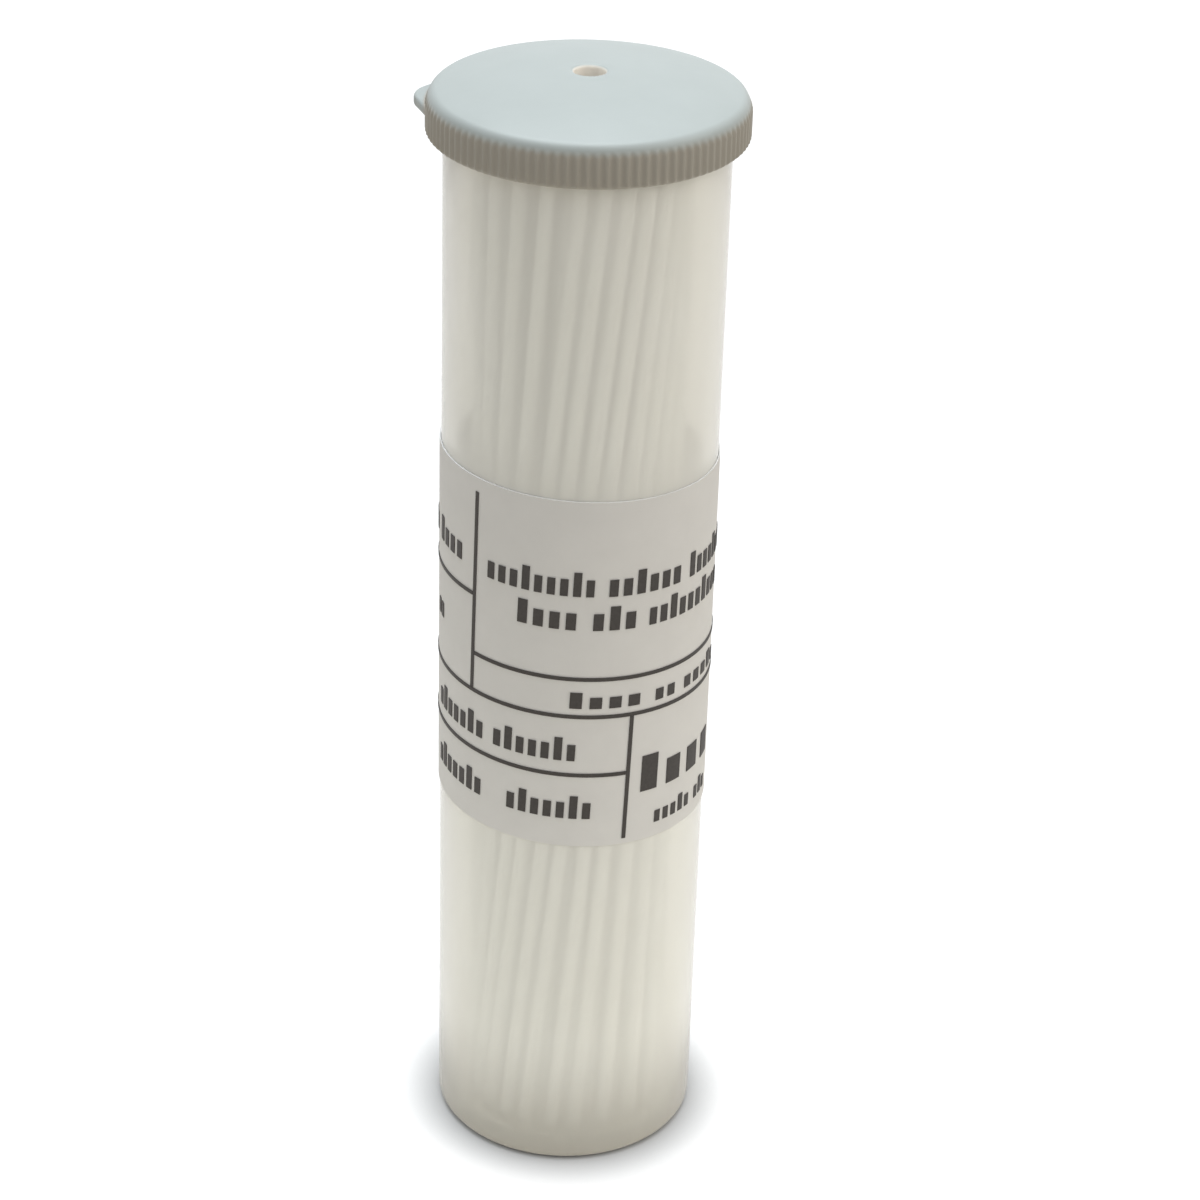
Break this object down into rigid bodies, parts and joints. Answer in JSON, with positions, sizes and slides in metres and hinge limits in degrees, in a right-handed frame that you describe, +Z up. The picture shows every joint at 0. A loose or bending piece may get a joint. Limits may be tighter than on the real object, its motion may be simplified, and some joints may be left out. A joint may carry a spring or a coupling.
{
  "type": "vial of glass capillary tubes",
  "caption": "Slim capped plastic vial packed with thin glass capillary tubes, with a ribbed pull-off cap and a ruled paper label.",
  "frame": {"origin": "centre of the vial's flat foot", "axes": "+Z up the vial towards the cap; -Y towards the front of the label; the thumb tab points to -X"},
  "size_m": [0.0233, 0.0224, 0.0851],
  "materials": {
    "vial": "natural milky polypropylene, moulded, satin and translucent",
    "cap": "white polyethylene, moulded, satin",
    "label": "white label paper, uncoated and matt",
    "print": "black printing ink, matt",
    "capillary_glass": "clear drawn soda-lime glass, fire-polished"
  },
  "bodies": {
    "vial": {"vial": "vial", "label": "label", "label_print": "print", "capillary_lot_01": "capillary_glass", "capillary_lot_02": "capillary_glass", "capillary_lot_03": "capillary_glass", "capillary_lot_04": "capillary_glass", "capillary_lot_05": "capillary_glass", "capillary_lot_06": "capillary_glass", "capillary_lot_07": "capillary_glass", "capillary_lot_08": "capillary_glass", "capillary_lot_09": "capillary_glass", "capillary_lot_10": "capillary_glass", "capillary_lot_11": "capillary_glass", "capillary_lot_12": "capillary_glass", "capillary_lot_13": "capillary_glass", "capillary_lot_14": "capillary_glass", "capillary_lot_15": "capillary_glass", "capillary_lot_16": "capillary_glass", "capillary_lot_17": "capillary_glass", "capillary_lot_18": "capillary_glass", "capillary_lot_19": "capillary_glass", "capillary_lot_20": "capillary_glass"},
    "cap": {"cap": "cap"}
  },
  "joints": [
    {"name": "cap_lift", "type": "slide", "parent": "vial", "child": "cap", "axis": [0, 0, 1], "range_m": [0, 0.03]}
  ]
}
